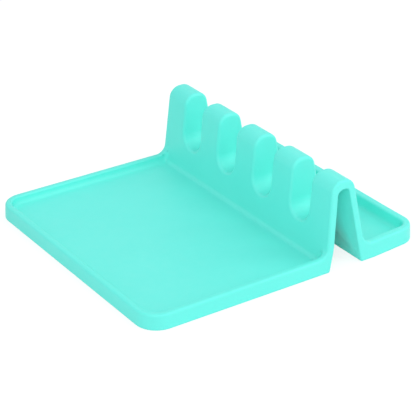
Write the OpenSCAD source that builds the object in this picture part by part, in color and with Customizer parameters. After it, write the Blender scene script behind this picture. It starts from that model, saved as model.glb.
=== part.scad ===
// Utensil rest moulded in silicone: a wide drip tray in front, a hollow bridge
// with four slots for handles, and a narrow tray behind it.
// The bridge runs along X, the wide tray lies towards -Y, the underside is z = 0.

/* [Overall] */
// Width over the two ends, along the bridge
width = 190; // [160:1:240]
// Height of the bridge's crest above the table
height = 60; // [50:1:75]
// Thickness of the moulded wall
wall = 5; // [4:0.1:6]

/* [Front tray] */
// Front edge to the front foot of the tunnel
front_depth = 136; // [90:1:180]
// Height of the rim round the front tray
front_rim = 10.4; // [9:0.1:13]
// Thickness of the front tray's floor
front_floor = 5; // [3:0.1:5.5]

/* [Rear tray] */
// Rear foot of the tunnel to the rear edge
rear_depth = 50; // [40:1:80]
// Height of the rim round the rear tray
rear_rim = 11.1; // [9:0.1:13]
// Thickness of the rear tray's floor
rear_floor = 3; // [2.4:0.1:4]

/* [Tray edges] */
// Plan radius of the four outer corners
corner_radius = 15; // [10:0.5:18]
// Rounding along the rim's top
edge_round = 1.5; // [0.8:0.1:1.8]
// Fillet between the rim and the tray floor
floor_fillet = 3.5; // [1:0.1:3.8]

/* [Bridge] */
// Width of the tunnel under the bridge, on the table
tunnel_gap = 23; // [21:0.5:30]
// Lean of the front wall, in degrees
front_lean = 5.1; // [3:0.1:7]
// Lean of the rear wall, in degrees
rear_lean = 10.8; // [8:0.1:13]
// Lean of the two open ends and of the rims' sides, in degrees
draft = 3; // [1:0.1:4]
// Thickness of the wall over the hollow, at the crest
crown = 6.2; // [5:0.1:8]
// Outer radius of the crest's two corners
crest_radius = 8; // [7:0.1:8.4]
// Fillet where the front rim climbs into the front wall
front_fillet = 7; // [4:0.5:9]
// Fillet where the rear rim climbs into the rear wall
rear_fillet = 8; // [3:0.5:10]

/* [Slots] */
// Number of slots through the bridge
slot_count = 4; // [2:1:4]
// Distance between neighbouring slots
slot_pitch = 40.8; // [38:0.2:42]
// Clear width of a slot
slot_width = 19; // [14:0.5:20]
// Height of a slot's lowest line above the table
slot_low = 24; // [20:0.5:30]
// Rounding of a slot's mouth at the crest
mouth_round = 2; // [1:0.5:5]

/* [Hidden] */
$fn = 96;
// A cut reaches past the body by this much
over = 2;
// Straight sides end this far inside the arcs that they run into
sink = 0.002;
// Places along Y, with the middle of the whole depth at y = 0
depth = front_depth + tunnel_gap + rear_depth;
front_edge = -depth / 2;
rear_edge = depth / 2;
front_foot = front_edge + front_depth;
rear_foot = rear_edge - rear_depth;
// Outer faces of the two leaning walls, at the level of the table
front_face = front_foot - wall / cos(front_lean);
rear_face = rear_foot + wall / cos(rear_lean);
// Centres of the crest's two corners, shared by its outer and inner arcs
crest_z = height - crest_radius;
crest_front = front_face + crest_z * tan(front_lean) + crest_radius / cos(front_lean);
crest_rear = rear_face - crest_z * tan(rear_lean) - crest_radius / cos(rear_lean);
// Centres of the fillets that carry the rims into the walls
front_fillet_z = front_rim + front_fillet;
front_fillet_y = front_face + front_fillet_z * tan(front_lean) - front_fillet / cos(front_lean);
rear_fillet_z = rear_rim + rear_fillet;
rear_fillet_y = rear_face - rear_fillet_z * tan(rear_lean) + rear_fillet / cos(rear_lean);
// Planes where the bridge goes over into the trays, a little before those fillets start
seam_step = 0.5;
front_seam = floor((front_fillet_y - seam_step) / seam_step) * seam_step;
rear_seam = ceil((rear_fillet_y + seam_step) / seam_step) * seam_step;
// Slots
slot_radius = slot_width / 2;
slot_z = slot_low + slot_radius;
slot_first = -slot_pitch * (slot_count - 1) / 2;
// Rear tray's ends slant inwards by 4.35 degrees, a triangle of 237, 3116 and 3125
taper_angle = asin(237 / 3125);
rear_corner_y = rear_edge - corner_radius;
rear_corner_x = round((width / 2 - (rear_corner_y - rear_seam) * tan(taper_angle)
    - corner_radius / cos(taper_angle)) * 100) / 100;
rear_inner_x = rear_corner_x + (rear_corner_y - rear_seam) * tan(taper_angle);

// Section through rim and floor: x runs inwards from the rim's outer foot, y is up
module rim_section(h, floor_t) {
    round_z = h - edge_round;
    grip = edge_round - sink;
    outer_x = round_z * tan(draft) + edge_round / cos(draft);
    inner_x = wall + edge_round * tan(draft) - edge_round / cos(draft);
    fillet_z = floor_t + floor_fillet;
    fillet_x = wall + (h - fillet_z) * tan(draft) + floor_fillet / cos(draft);
    fillet_grip = floor_fillet - sink;
    difference() {
        union() {
            polygon([
                [0, 0],
                [outer_x - grip * cos(draft), round_z + grip * sin(draft)],
                [outer_x, round_z + grip],
                [inner_x, round_z + grip],
                [inner_x + grip * cos(draft), round_z + grip * sin(draft)],
                [fillet_x - fillet_grip * cos(draft), fillet_z - fillet_grip * sin(draft)],
                [fillet_x, fillet_z - fillet_grip],
                [fillet_x + floor_fillet, floor_t],
                [corner_radius, floor_t],
                [corner_radius, 0]
            ]);
            translate([outer_x, round_z]) circle(r = edge_round);
            translate([inner_x, round_z]) circle(r = edge_round);
        }
        translate([fillet_x, fillet_z]) circle(r = floor_fillet);
    }
}

// Straight rim along +Y, its outer foot on x = 0 and the tray on the +X side
module rim_run(h, floor_t, length) {
    translate([0, length, 0])
        rotate([90, 0, 0])
            linear_extrude(height = length)
                rim_section(h, floor_t);
}

// Rounded corner about the origin, from the direction `from` through `sweep` degrees
module rim_corner(h, floor_t, from, sweep) {
    rotate([0, 0, from])
        rotate_extrude(angle = sweep)
            translate([corner_radius, 0])
                mirror([1, 0])
                    rim_section(h, floor_t);
}

// Section across the bridge, x = place along Y and y = height: two leaning walls
// under one crest, set in from the outer faces by `inset`, starting at the level low,
// and with its top lowered by `drop` more than the inset
module bridge_section(inset, low, drop) {
    r = crest_radius - inset;
    grip = r - sink;
    z = crest_z - drop;
    front_y = crest_front - drop * tan(front_lean);
    rear_y = crest_rear + drop * tan(rear_lean);
    front_x = front_face + inset / cos(front_lean);
    rear_x = rear_face - inset / cos(rear_lean);
    polygon([
        [front_x + low * tan(front_lean), low],
        [front_y - grip * cos(front_lean), z + grip * sin(front_lean)],
        [front_y, z + grip],
        [rear_y, z + grip],
        [rear_y + grip * cos(rear_lean), z + grip * sin(rear_lean)],
        [rear_x - low * tan(rear_lean), low]
    ]);
    translate([front_y, z]) circle(r = r);
    translate([rear_y, z]) circle(r = r);
}

// Strip beside the front wall, up to the level h, with a fillet r into the wall
module front_strip(h, r) {
    z = h + r;
    grip = r - sink;
    y = front_face + z * tan(front_lean) - r / cos(front_lean);
    difference() {
        polygon([
            [front_seam, 0],
            [front_seam, h],
            [y, z - grip],
            [y + grip * cos(front_lean), z - grip * sin(front_lean)],
            [front_foot - wall / 4, z],
            [front_foot - wall / 4, 0]
        ]);
        translate([y, z]) circle(r = r);
    }
}

// Strip beside the rear wall, the same way
module rear_strip(h, r) {
    z = h + r;
    grip = r - sink;
    y = rear_face - z * tan(rear_lean) + r / cos(rear_lean);
    difference() {
        polygon([
            [rear_seam, 0],
            [rear_seam, h],
            [y, z - grip],
            [y - grip * cos(rear_lean), z - grip * sin(rear_lean)],
            [rear_foot + wall / 4, z],
            [rear_foot + wall / 4, 0]
        ]);
        translate([y, z]) circle(r = r);
    }
}

// A section across the bridge drawn out along X, from x0 to x1
module along_x(x0, x1) {
    translate([x0, 0, 0])
        rotate([90, 0, 90])
            linear_extrude(height = x1 - x0)
                children();
}

// A section in the XZ plane drawn out along Y, from y0 to y1
module along_y(y0, y1) {
    translate([0, y1, 0])
        rotate([90, 0, 0])
            linear_extrude(height = y1 - y0)
                children();
}

// Everything between the two leaning end faces
module between_ends(top) {
    along_y(front_seam - over, rear_seam + over)
        polygon([
            [-width / 2, 0],
            [width / 2, 0],
            [width / 2 - top * tan(draft), top],
            [-width / 2 + top * tan(draft), top]
        ]);
}

// Slot seen from the front: round below, its mouth rounded over at the crest
module slot_2d() {
    half = slot_radius - sink;
    top = height + over;
    mouth_x = half + mouth_round - sink;
    mouth_z = height - mouth_round + sink;
    translate([0, slot_z]) circle(r = slot_radius);
    difference() {
        polygon([
            [-half, slot_z],
            [half, slot_z],
            [half, mouth_z],
            [mouth_x, height],
            [mouth_x, top],
            [-mouth_x, top],
            [-mouth_x, height],
            [-half, mouth_z]
        ]);
        translate([-mouth_x, mouth_z]) circle(r = mouth_round);
        translate([mouth_x, mouth_z]) circle(r = mouth_round);
    }
}

// The slot with its own wall round it, which closes it off from the hollow
module channel_2d() {
    channel_radius = slot_radius + wall;
    half = channel_radius - sink;
    translate([0, slot_z]) circle(r = channel_radius);
    translate([-half, slot_z]) square([2 * half, height + over - slot_z]);
}

module each_slot() {
    for (i = [0 : slot_count - 1])
        translate([slot_first + i * slot_pitch, 0, 0])
            children();
}

module front_tray() {
    color("mediumturquoise") {
        run_from = front_edge + corner_radius;
        run = front_seam - run_from;
        inner = width / 2 - corner_radius;
        translate([-width / 2, run_from, 0]) rim_run(front_rim, front_floor, run);
        mirror([1, 0, 0])
            translate([-width / 2, run_from, 0]) rim_run(front_rim, front_floor, run);
        translate([inner, front_edge, 0])
            rotate([0, 0, 90]) rim_run(front_rim, front_floor, 2 * inner);
        translate([-inner, run_from, 0]) rim_corner(front_rim, front_floor, 180, 90);
        translate([inner, run_from, 0]) rim_corner(front_rim, front_floor, 270, 90);
        translate([-inner, run_from, 0]) cube([2 * inner, run, front_floor]);
    }
}

module bridge() {
    rim_in = width / 2 - wall;
    color("turquoise")
        difference() {
            intersection() {
                union() {
                    along_x(-width / 2, width / 2) bridge_section(0, 0, 0);
                    along_x(-width / 2, width / 2) front_strip(front_floor, floor_fillet);
                    along_x(-width / 2, width / 2) rear_strip(rear_floor, floor_fillet);
                    along_x(-width / 2, -rim_in) front_strip(front_rim, front_fillet);
                    along_x(rim_in, width / 2) front_strip(front_rim, front_fillet);
                    along_x(-width / 2, -rim_in) rear_strip(rear_rim, rear_fillet);
                    along_x(rim_in, width / 2) rear_strip(rear_rim, rear_fillet);
                }
                between_ends(height + over);
            }
            difference() {
                along_x(-width / 2 - over, width / 2 + over) bridge_section(wall, -over, crown - wall);
                each_slot() along_y(front_seam, rear_seam) channel_2d();
            }
            each_slot() along_y(front_seam - over, rear_seam + over) slot_2d();
        }
}

// Rear corner about the origin, with the slanting end that runs from it to past the seam
module rear_corner() {
    reach = corner_radius + over;
    length = rear_edge - rear_seam;
    intersection() {
        rotate([0, 0, taper_angle]) rim_corner(rear_rim, rear_floor, 0, 180);
        translate([0, -reach, -over]) cube([reach, 2 * reach, rear_rim + 2 * over]);
    }
    rotate([0, 0, taper_angle])
        translate([corner_radius, -length, 0])
            mirror([1, 0, 0]) rim_run(rear_rim, rear_floor, length);
}

module rear_tray() {
    lap = wall / 2;
    color("mediumturquoise")
        difference() {
            union() {
                translate([rear_corner_x, rear_corner_y, 0]) rear_corner();
                translate([-rear_corner_x, rear_corner_y, 0]) mirror([1, 0, 0]) rear_corner();
                translate([-rear_corner_x, rear_edge, 0])
                    rotate([0, 0, -90]) rim_run(rear_rim, rear_floor, 2 * rear_corner_x);
                linear_extrude(height = rear_floor)
                    polygon([
                        [-rear_inner_x - lap, rear_seam - over],
                        [rear_inner_x + lap, rear_seam - over],
                        [rear_corner_x + lap, rear_corner_y + lap],
                        [-rear_corner_x - lap, rear_corner_y + lap]
                    ]);
            }
            translate([-width, rear_seam - width, -over])
                cube([2 * width, width, rear_rim + 2 * over]);
        }
}

front_tray();
bridge();
rear_tray();
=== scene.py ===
from math import cos, radians, sin, tan

import bmesh
import bpy
from mathutils import Matrix, Vector


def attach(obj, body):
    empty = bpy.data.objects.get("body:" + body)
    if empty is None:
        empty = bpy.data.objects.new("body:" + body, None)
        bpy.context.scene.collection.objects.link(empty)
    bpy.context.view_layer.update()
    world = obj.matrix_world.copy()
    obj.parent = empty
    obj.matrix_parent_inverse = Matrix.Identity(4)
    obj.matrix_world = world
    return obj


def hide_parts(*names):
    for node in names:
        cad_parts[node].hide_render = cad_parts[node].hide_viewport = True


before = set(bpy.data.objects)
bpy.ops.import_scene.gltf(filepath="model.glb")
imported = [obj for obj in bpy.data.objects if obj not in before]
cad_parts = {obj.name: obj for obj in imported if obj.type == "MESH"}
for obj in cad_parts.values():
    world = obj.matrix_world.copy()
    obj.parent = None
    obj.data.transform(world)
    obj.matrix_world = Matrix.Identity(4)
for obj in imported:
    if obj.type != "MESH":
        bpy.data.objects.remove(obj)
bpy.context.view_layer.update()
mm = 0.001
near = 1e-6                                         # metres, for telling what lies on a plane
scene = bpy.context.scene


# small helpers

def newObject(name, bm):
    mesh = bpy.data.meshes.new(name)
    bm.to_mesh(mesh)
    bm.free()
    obj = bpy.data.objects.new(name, mesh)
    scene.collection.objects.link(obj)
    return obj


def applyModifiers(obj):
    bpy.context.view_layer.update()
    depsgraph = bpy.context.evaluated_depsgraph_get()
    mesh = bpy.data.meshes.new_from_object(obj.evaluated_get(depsgraph))
    obj.modifiers.clear()
    obj.data = mesh


def combine(obj, other, operation):
    # one boolean, after which the other object is gone
    cut = obj.modifiers.new("cut", "BOOLEAN")
    cut.operation = operation
    cut.solver = "EXACT"
    cut.object = other
    applyModifiers(obj)
    bpy.data.objects.remove(other)
    return obj


def flatFace(bm, points):
    # one flat face from its corners, in millimetres
    bm.faces.new([bm.verts.new(Vector(p) * mm) for p in points])


def roundCorner(bm, point, radius, segments):
    # rounds the corner of a flat face that lies nearest to the point
    place = Vector(point) * mm
    vert = min(bm.verts, key=lambda v: (v.co - place).length)
    a, b = [(e.other_vert(vert).co - vert.co).normalized() for e in vert.link_edges]
    reach = radius * mm / tan(a.angle(b) / 2)
    bmesh.ops.bevel(bm, geom=[vert], offset=reach, offset_type="OFFSET", segments=segments,
                    profile=0.5, affect="VERTICES", material=-1, clamp_overlap=False)


def drawOut(bm, vector):
    # draws the flat face out into a closed solid
    made = bmesh.ops.extrude_face_region(bm, geom=list(bm.faces), use_keep_orig=True)
    verts = [g for g in made["geom"] if isinstance(g, bmesh.types.BMVert)]
    bmesh.ops.translate(bm, verts=verts, vec=Vector(vector) * mm)
    bmesh.ops.recalc_face_normals(bm, faces=bm.faces)


def closeHoles(bm):
    bmesh.ops.holes_fill(bm, edges=[e for e in bm.edges if e.is_boundary], sides=0)
    bmesh.ops.recalc_face_normals(bm, faces=bm.faces)


def drawWithDraft(bm, height, draft):
    # draws the flat face up or down by the height, with sides that lean inwards
    face = bm.faces[:][0]
    face.normal_update()
    if face.normal.z * height < 0:
        face.normal_flip()
    bmesh.ops.inset_region(bm, faces=[face], thickness=abs(height) * tan(draft) * mm,
                           depth=abs(height) * mm, use_boundary=True, use_even_offset=True)
    closeHoles(bm)


def cutAway(bm, point, normal):
    # takes off what lies past a plane and closes the cut
    bmesh.ops.bisect_plane(bm, geom=bm.verts[:] + bm.edges[:] + bm.faces[:],
                           plane_co=Vector(point) * mm, plane_no=Vector(normal), clear_outer=True)
    closeHoles(bm)


# silicone rest

rest = {                                            # millimetres and radians
    "width": 190, "height": 60, "wall": 5,
    "frontEdge": -104.5, "rearEdge": 104.5,
    "rearBow": 1.5, "bowRadius": 3600,              # a shallow corner in mid back edge, rounded off
    "frontFoot": 31.5, "rearFoot": 54.5,            # the tunnel's two feet on the table
    "frontRim": 10.4, "frontFloor": 5,
    "rearRim": 11.1, "rearFloor": 3, "rearWall": 6,
    "frontLean": radians(5.1), "rearLean": radians(10.8), "draft": radians(3),
    "taper": radians(5.2), "taperFrom": 65,         # the rear tray's ends slant in from here
    "frontCorner": 15, "rearCorner": 14, "rearPocketCorner": 7,
    "frontFillet": 7, "rearFillet": 8,              # where the rims climb into the bridge's walls
    "floorFillet": 3.2,                             # foot of a pocket's sides, and its corners at the wall
    "frontPast": 60, "rearPast": 30,                # the pockets are drawn to here, then cut at the wall
    "over": 9,                                      # how far the pockets reach above the rims
    "crestRadius": 8, "crown": 6.2,                 # the crown is what stands over the hollow
    "hollowFront": 4, "hollowRear": 2.5,            # radii at the hollow's top
    "flare": 2.2, "flareTop": 15,                   # the tunnel widens to the front near the table
    "flareLean": radians(13), "flareRadius": 40,
    "slotCount": 4, "slotPitch": 40.8, "slotWidth": 19, "slotLow": 24, "slotReach": 80,
    "slotRound": 2.2, "endRound": 1.6, "rimRound": 1.5, "hollowRound": 0.9, "footRound": 0.8,
    "sharp": radians(30),                           # edges that turn more than this are rounded
    "past": 10, "under": 5,                         # how far cutting shapes reach past rest and table
    "arc": 10, "bowArc": 4, "hollowArc": 6, "edgeArc": 5,       # segments of the roundings
}
wall, draft = rest["wall"], rest["draft"]
frontLean, rearLean = rest["frontLean"], rest["rearLean"]
frontFace = rest["frontFoot"] - wall / cos(frontLean)
rearFace = rest["rearFoot"] + wall / cos(rearLean)
slotCentres = [(i - (rest["slotCount"] - 1) / 2) * rest["slotPitch"] for i in range(rest["slotCount"])]


def frontY(z, inset=0):
    return frontFace + inset / cos(frontLean) + z * tan(frontLean)


def rearY(z, inset=0):
    return rearFace - inset / cos(rearLean) - z * tan(rearLean)


def planBlock():
    # plan outline of the whole rest, drawn up with a moulding's draft
    half = rest["width"] / 2
    rearHalf = half - (rest["rearEdge"] - rest["taperFrom"]) * tan(rest["taper"])
    middle = (0, rest["rearEdge"] - rest["rearBow"])
    points = [(-half, rest["frontEdge"]), (half, rest["frontEdge"]), (half, rest["taperFrom"]),
              (rearHalf, rest["rearEdge"]), middle, (-rearHalf, rest["rearEdge"]),
              (-half, rest["taperFrom"])]
    bm = bmesh.new()
    flatFace(bm, [(x, y, 0) for x, y in points])
    for x, y in (points[0], points[1], points[3], points[5]):
        roundCorner(bm, (x, y, 0), rest["frontCorner"] if y < 0 else rest["rearCorner"], rest["arc"])
    roundCorner(bm, (*middle, 0), rest["bowRadius"], rest["bowArc"])
    drawWithDraft(bm, rest["height"] + rest["past"], draft)
    return newObject("planBlock", bm)


def sideBlock():
    # side view of rims and bridge, drawn out along the bridge past both ends
    top, reach = rest["height"], rest["width"] / 2 + rest["past"]
    front, rear = rest["frontEdge"] - rest["past"], rest["rearEdge"] + rest["past"]
    points = [(front, 0), (front, rest["frontRim"]), (frontY(rest["frontRim"]), rest["frontRim"]),
              (frontY(top), top), (rearY(top), top),
              (rearY(rest["rearRim"]), rest["rearRim"]), (rear, rest["rearRim"]), (rear, 0)]
    bm = bmesh.new()
    flatFace(bm, [(-reach, y, z) for y, z in points])
    for (y, z), radius in zip(points[2:6], ("frontFillet", "crestRadius", "crestRadius", "rearFillet")):
        roundCorner(bm, (-reach, y, z), rest[radius], rest["arc"])
    drawOut(bm, (2 * reach, 0, 0))
    return newObject("sideBlock", bm)


def pocket(points, rounded, floor, rim, wallPoint, wallNormal):
    # the space inside a tray: leaning sides, the bridge's wall, and a fillet all round its floor
    bm = bmesh.new()
    flatFace(bm, [(x, y, rim) for x, y in points])
    for (x, y), radius, segments in rounded:
        roundCorner(bm, (x, y, rim), radius, segments)
    drawWithDraft(bm, floor - rim, draft)
    # over the rim the ends go on at the same slant, past where the rims climb into the bridge
    top = [f for f in bm.faces if all(abs(v.co.z - rim * mm) < near for v in f.verts)]
    made = bmesh.ops.extrude_face_region(bm, geom=top)
    raised = [g for g in made["geom"] if isinstance(g, bmesh.types.BMVert)]
    wider = 1 + rest["over"] * tan(draft) / (rest["width"] / 2 - wall)
    bmesh.ops.translate(bm, verts=raised, vec=(0, 0, rest["over"] * mm))
    bmesh.ops.scale(bm, verts=raised, vec=(wider, 1, 1))
    bmesh.ops.delete(bm, geom=top, context="FACES_ONLY")
    bmesh.ops.recalc_face_normals(bm, faces=bm.faces)
    cutAway(bm, wallPoint, wallNormal)
    # the foot of every side, and the two upright corners at the bridge
    foot = [e for e in bm.edges if all(abs(v.co.z - floor * mm) < near for v in e.verts)]
    onWall = lambda v: abs((v.co - Vector(wallPoint) * mm).dot(Vector(wallNormal))) < near
    upright = [e for e in bm.edges
               if all(onWall(v) for v in e.verts) and abs(e.verts[0].co.z - e.verts[1].co.z) > mm]
    bmesh.ops.bevel(bm, geom=foot + upright, offset=rest["floorFillet"] * mm, offset_type="OFFSET",
                    segments=rest["edgeArc"], profile=0.5, affect="EDGES", material=-1,
                    clamp_overlap=False)
    return bm


def frontPocket():
    rim, floor = rest["frontRim"], rest["frontFloor"]
    x, y = rest["width"] / 2 - wall, rest["frontEdge"] + wall
    radius = rest["frontCorner"] - wall
    corners = [(-x, y), (x, y)]
    bm = pocket([*corners, (x, rest["frontPast"]), (-x, rest["frontPast"])],
                [(corner, radius, rest["arc"]) for corner in corners], floor, rim,
                (0, frontY(0), 0), (0, cos(frontLean), -sin(frontLean)))
    # above the fillet's top edge the space leans away from the wall
    z = rim + rest["frontFillet"] * (1 - sin(frontLean))
    cutAway(bm, (0, frontY(z), z), (0, 1, 1))
    return newObject("frontPocket", bm)


def rearPocket():
    rim, floor = rest["rearRim"], rest["rearFloor"]
    taper, start, radius = rest["taper"], rest["rearPast"], rest["rearPocketCorner"]
    # ends parallel to the slanting outside, the wall's thickness further in
    half = rest["width"] / 2 - rest["rearWall"] / cos(taper)
    outer = lambda y: half - (y - rest["taperFrom"]) * tan(taper)
    y = rest["rearEdge"] - rest["rearWall"]
    right, middle, left = (outer(y), y), (0, y - rest["rearBow"]), (-outer(y), y)
    bm = pocket([(-outer(start), start), (outer(start), start), right, middle, left],
                [(right, radius, rest["arc"]), (left, radius, rest["arc"]),
                 (middle, rest["bowRadius"], rest["bowArc"])], floor, rim,
                (0, rearY(0), 0), (0, -cos(rearLean), -sin(rearLean)))
    z = rim + rest["rearFillet"] * (1 - sin(rearLean))
    cutAway(bm, (0, rearY(z), z), (0, -1, 1))
    return newObject("rearPocket", bm)


def slotSolid(centre, radius):
    # a tall face, its two lower corners rounded into one half circle, drawn out towards the back
    low, top = rest["slotLow"] + rest["slotWidth"] / 2 - radius, rest["height"] + rest["past"]
    points = [(centre - radius, 0, low), (centre + radius, 0, low),
              (centre + radius, 0, top), (centre - radius, 0, top)]
    short, speck = 0.9999, 0.01 * mm                # the arcs end a hair apart and are then joined
    bm = bmesh.new()
    flatFace(bm, points)
    for p in points[:2]:
        roundCorner(bm, p, radius * short, rest["arc"])
    bmesh.ops.remove_doubles(bm, verts=bm.verts, dist=speck)
    drawOut(bm, (0, rest["slotReach"], 0))
    return newObject("slot", bm)


def hollow():
    # the space under the bridge, less the walls that close the slots off from it
    reach, top = rest["width"] / 2 + 2 * rest["past"], rest["height"] - rest["crown"]
    flare, under = rest["flareTop"], rest["under"]
    points = [(rest["frontFoot"] - rest["flare"] - under * tan(rest["flareLean"]), -under),
              (frontY(flare, wall), flare), (frontY(top, wall), top),
              (rearY(top, wall), top), (rearY(-under, wall), -under)]
    bm = bmesh.new()
    flatFace(bm, [(-reach, y, z) for y, z in points])
    for (y, z), radius in zip(points[1:4], ("flareRadius", "hollowFront", "hollowRear")):
        roundCorner(bm, (-reach, y, z), rest[radius], rest["hollowArc"])
    drawOut(bm, (2 * reach, 0, 0))
    obj = newObject("hollow", bm)
    for centre in slotCentres:
        combine(obj, slotSolid(centre, rest["slotWidth"] / 2 + wall), "DIFFERENCE")
    return obj


def tidyFaces(obj):
    # joins what the booleans left split
    speck, flat = 0.002 * mm, radians(0.3)
    bm = bmesh.new()
    bm.from_mesh(obj.data)
    bmesh.ops.remove_doubles(bm, verts=bm.verts, dist=speck)
    bmesh.ops.dissolve_degenerate(bm, edges=bm.edges, dist=speck)
    bmesh.ops.dissolve_limit(bm, verts=bm.verts, edges=bm.edges, angle_limit=flat,
                             use_dissolve_boundaries=False)
    bm.to_mesh(obj.data)
    bm.free()


def roundingAt(place):
    # how far a sharp outer edge is rounded, in millimetres, by where its middle lies
    x, y, z = place
    slack, inside = 0.1, 1
    slotHalf = rest["slotWidth"] / 2
    side = rest["width"] / 2 - z * tan(draft) - max(0, y - rest["taperFrom"]) * tan(rest["taper"])
    underCrown = z < rest["height"] - rest["crown"] + slack
    betweenLegs = frontY(z, wall) - rest["flare"] - slack < y < rearY(z, wall) + slack
    if z < slack:
        return rest["footRound"]
    if min(abs(x - c) for c in slotCentres) < slotHalf + slack and z > rest["slotLow"] - slack:
        return rest["slotRound"]
    if betweenLegs and underCrown:
        return rest["hollowRound"]
    if abs(x) < side - inside or z < rest["frontRim"] + slack:
        return rest["rimRound"]                     # also the rims' inner side, up to the bridge
    return rest["endRound"]


def roundEdges(obj):
    bm = bmesh.new()
    bm.from_mesh(obj.data)
    weight = bm.edges.layers.float.new("bevel_weight_edge")
    for edge in bm.edges:
        if edge.calc_face_angle_signed(0) > rest["sharp"]:
            edge[weight] = roundingAt((edge.verts[0].co + edge.verts[1].co) / 2 / mm) / rest["slotRound"]
    for face in bm.faces:
        face.smooth = True
    bm.to_mesh(obj.data)
    bm.free()
    bevel = obj.modifiers.new("rounding", "BEVEL")
    bevel.limit_method = "WEIGHT"
    bevel.offset_type = "OFFSET"
    bevel.width = rest["slotRound"] * mm            # the widest, and the weights are shares of it
    bevel.segments = rest["edgeArc"]
    bevel.profile = 0.5
    bevel.use_clamp_overlap = False
    bevel.harden_normals = True
    applyModifiers(obj)


print("rest: blocks")
body = combine(sideBlock(), planBlock(), "INTERSECT")
body.name = body.data.name = "silicone_rest"
print("rest: pockets, hollow and slots")
for space in (frontPocket, rearPocket, hollow):
    combine(body, space(), "DIFFERENCE")
for slotCentre in slotCentres:
    combine(body, slotSolid(slotCentre, rest["slotWidth"] / 2), "DIFFERENCE")
print("rest: roundings")
tidyFaces(body)
roundEdges(body)
check = bmesh.new()
check.from_mesh(body.data)
print("rest:", len(check.faces), "faces,", sum(not e.is_manifold for e in check.edges), "open edges")
check.free()

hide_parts("front_tray", "bridge", "rear_tray")
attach(body, "root")


# silicone finish

silicone = {
    "colour": (0.145, 0.86, 0.77),                  # linear, as is the colour of its faint clouds
    "cloud": (0.136, 0.84, 0.75),
    "cloudScale": 28, "cloudFrom": (0.4, 0.7), "cloudShare": 0.6,
    "shine": 0.42, "ior": 1.41,
    "satin": (0.40, 0.50),                          # roughness wanders between these
    "satinFrom": (0.35, 0.65), "satinScale": 180,
    "swellScale": 90, "swellDepth": 0.00006,        # very shallow waviness of a soft moulding
    "grainScale": 2600, "grainDepth": 0.000012,     # fine blasted grain of the mould
    "glow": 0.12, "glowReach": 0.0018,              # light that goes a little way in
    "glowColour": (0.5, 1.0, 0.9),
}


def addNode(tree, kind, place, **inputs):
    node = tree.nodes.new(kind)
    node.location = place
    for name, value in inputs.items():
        node.inputs[name].default_value = value
    return node


def addRange(tree, place, fromValues, toValues):
    node = tree.nodes.new("ShaderNodeMapRange")
    node.location = place
    for name, value in zip(("From Min", "From Max", "To Min", "To Max"), (*fromValues, *toValues)):
        node.inputs[name].default_value = value
    return node


def siliconeMaterial():
    material = bpy.data.materials.new("siliconeSatin")
    material.use_nodes = True
    tree = material.node_tree
    link = tree.links.new
    shader = tree.nodes["Principled BSDF"]
    place = addNode(tree, "ShaderNodeTexCoord", (-1200, 0))

    cloud = addNode(tree, "ShaderNodeTexNoise", (-900, 300), Scale=silicone["cloudScale"], Detail=3.0)
    amount = addRange(tree, (-650, 300), silicone["cloudFrom"], (0, silicone["cloudShare"]))
    tint = tree.nodes.new("ShaderNodeMix")
    tint.location, tint.data_type = (-400, 300), "RGBA"
    tint.inputs["A"].default_value = (*silicone["colour"], 1)
    tint.inputs["B"].default_value = (*silicone["cloud"], 1)
    link(place.outputs["Object"], cloud.inputs["Vector"])
    link(cloud.outputs["Fac"], amount.inputs["Value"])
    link(amount.outputs["Result"], tint.inputs["Factor"])
    link(tint.outputs["Result"], shader.inputs["Base Color"])

    patch = addNode(tree, "ShaderNodeTexNoise", (-900, 0), Scale=silicone["satinScale"], Detail=2.0)
    satin = addRange(tree, (-650, 0), silicone["satinFrom"], silicone["satin"])
    link(place.outputs["Object"], patch.inputs["Vector"])
    link(patch.outputs["Fac"], satin.inputs["Value"])
    link(satin.outputs["Result"], shader.inputs["Roughness"])

    swell = addNode(tree, "ShaderNodeTexNoise", (-900, -300), Scale=silicone["swellScale"], Detail=1.0)
    grain = addNode(tree, "ShaderNodeTexNoise", (-900, -550), Scale=silicone["grainScale"], Detail=2.0)
    waves = addNode(tree, "ShaderNodeBump", (-400, -300), Strength=1.0, Distance=silicone["swellDepth"])
    fine = addNode(tree, "ShaderNodeBump", (-200, -300), Strength=1.0, Distance=silicone["grainDepth"])
    link(place.outputs["Object"], swell.inputs["Vector"])
    link(place.outputs["Object"], grain.inputs["Vector"])
    link(swell.outputs["Fac"], waves.inputs["Height"])
    link(grain.outputs["Fac"], fine.inputs["Height"])
    link(waves.outputs["Normal"], fine.inputs["Normal"])
    link(fine.outputs["Normal"], shader.inputs["Normal"])

    shader.inputs["IOR"].default_value = silicone["ior"]
    shader.inputs["Specular IOR Level"].default_value = silicone["shine"]
    shader.inputs["Subsurface Weight"].default_value = silicone["glow"]
    shader.inputs["Subsurface Radius"].default_value = silicone["glowColour"]
    shader.inputs["Subsurface Scale"].default_value = silicone["glowReach"]
    return material


print("rest: finish")
body.data.materials.clear()
body.data.materials.append(siliconeMaterial())


# camera

view = {                                            # degrees and metres, and the photo's pixels
    "azimuth": 55.92, "elevation": 27.25, "roll": -0.10, "distance": 1.0807,
    "target": (0.001235, 0.001, 0.01425),
    "photo": 416, "focal": 1650.4, "shift": (-0.4, -0.36),
    "sensor": 36, "clip": (0.01, 20),
}

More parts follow.
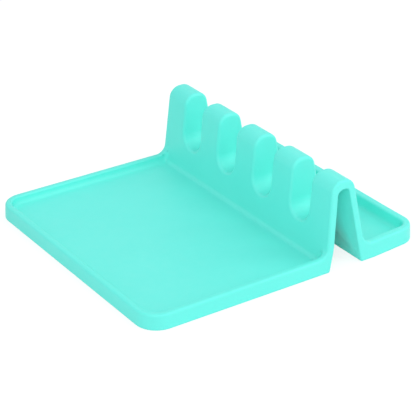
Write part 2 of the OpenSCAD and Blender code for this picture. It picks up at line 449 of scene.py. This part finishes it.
print("camera")
azimuth, elevation, roll = radians(view["azimuth"]), radians(view["elevation"]), radians(view["roll"])
back = Vector((sin(azimuth) * cos(elevation), -cos(azimuth) * cos(elevation), sin(elevation)))
right = Vector((cos(azimuth), sin(azimuth), 0))
up = back.cross(right)
right, up = right * cos(roll) + up * sin(roll), up * cos(roll) - right * sin(roll)
camera = bpy.data.objects.new("camera", bpy.data.cameras.new("camera"))
camera.matrix_world = Matrix((right, up, back)).transposed().to_4x4()
camera.location = Vector(view["target"]) + back * view["distance"]
camera.data.sensor_width = view["sensor"]
camera.data.lens = view["focal"] / view["photo"] * view["sensor"]
camera.data.shift_x, camera.data.shift_y = [shift / view["photo"] for shift in view["shift"]]
camera.data.clip_start, camera.data.clip_end = view["clip"]
scene.collection.objects.link(camera)
scene.camera = camera


# floor and light

studio = {
    "floorSize": 6, "floorColour": (0.88, 0.88, 0.88), "floorRoughness": 0.9,
    "white": 0.8, "shadow": 0.26,                   # what is seen of the floor: white, and its lit share
    "world": 0.70,
    "boxDistance": 1.3, "boxWidth": 0.7, "boxHeight": 1.4,
    "boxes": {                                      # tall soft boxes, both to the right of the rest
        "frontBox": {"azimuth": -45, "elevation": 33, "energy": 4.8},
        "rearBox": {"azimuth": 45, "elevation": 43, "energy": 6.2},
    },
}


def seenShare(tree):
    # 1 for what the camera sees, also by gloss or through glass
    path = tree.nodes.new("ShaderNodeLightPath")
    share = path.outputs["Is Camera Ray"]
    for name in ("Is Glossy Ray", "Is Transmission Ray"):
        either = tree.nodes.new("ShaderNodeMath")
        either.operation = "MAXIMUM"
        tree.links.new(share, either.inputs[0])
        tree.links.new(path.outputs[name], either.inputs[1])
        share = either.outputs[0]
    return share


def seenInstead(tree, lit, seen, output):
    mix = tree.nodes.new("ShaderNodeMixShader")
    tree.links.new(seenShare(tree), mix.inputs[0])
    tree.links.new(lit, mix.inputs[1])
    tree.links.new(seen, mix.inputs[2])
    tree.links.new(mix.outputs[0], output)


def studioWorld():
    # an even pale light, seen as plain white
    world = bpy.data.worlds.new("studio")
    world.use_nodes = True
    tree = world.node_tree
    light, white = tree.nodes["Background"], tree.nodes.new("ShaderNodeBackground")
    light.inputs["Color"].default_value = white.inputs["Color"].default_value = (1, 1, 1, 1)
    light.inputs["Strength"].default_value = studio["world"]
    seenInstead(tree, light.outputs[0], white.outputs[0], tree.nodes["World Output"].inputs["Surface"])
    return world


def floorPaper():
    # the floor is seen as white paper that keeps a soft share of the shadow
    paper = bpy.data.materials.new("floorPaper")
    paper.use_nodes = True
    tree = paper.node_tree
    lit = tree.nodes["Principled BSDF"]
    lit.inputs["Base Color"].default_value = (*studio["floorColour"], 1)
    lit.inputs["Roughness"].default_value = studio["floorRoughness"]
    lit.inputs["Specular IOR Level"].default_value = 0
    white = tree.nodes.new("ShaderNodeEmission")
    white.inputs["Strength"].default_value = studio["white"]
    shade = tree.nodes.new("ShaderNodeBsdfDiffuse")
    shade.inputs["Color"].default_value = (studio["shadow"], studio["shadow"], studio["shadow"], 1)
    both = tree.nodes.new("ShaderNodeAddShader")
    tree.links.new(white.outputs[0], both.inputs[0])
    tree.links.new(shade.outputs[0], both.inputs[1])
    seenInstead(tree, lit.outputs[0], both.outputs[0], tree.nodes["Material Output"].inputs["Surface"])
    return paper


def softBox(name, box):
    light = bpy.data.objects.new(name, bpy.data.lights.new(name, "AREA"))
    light.data.shape = "RECTANGLE"
    light.data.size, light.data.size_y = studio["boxWidth"], studio["boxHeight"]
    light.data.energy = box["energy"]
    turn, rise = radians(box["azimuth"]), radians(box["elevation"])
    towards = Vector((cos(turn) * cos(rise), sin(turn) * cos(rise), sin(rise)))
    light.location = towards * studio["boxDistance"]
    light.rotation_mode = "QUATERNION"
    light.rotation_quaternion = light.location.to_track_quat("Z", "Y")
    scene.collection.objects.link(light)


print("studio")
bm = bmesh.new()
bmesh.ops.create_grid(bm, x_segments=1, y_segments=1, size=studio["floorSize"] / 2)
floor = newObject("floor", bm)
floor.data.materials.append(floorPaper())
scene.world = studioWorld()
scene.view_settings.view_transform = "Standard"
for name, box in studio["boxes"].items():
    softBox(name, box)
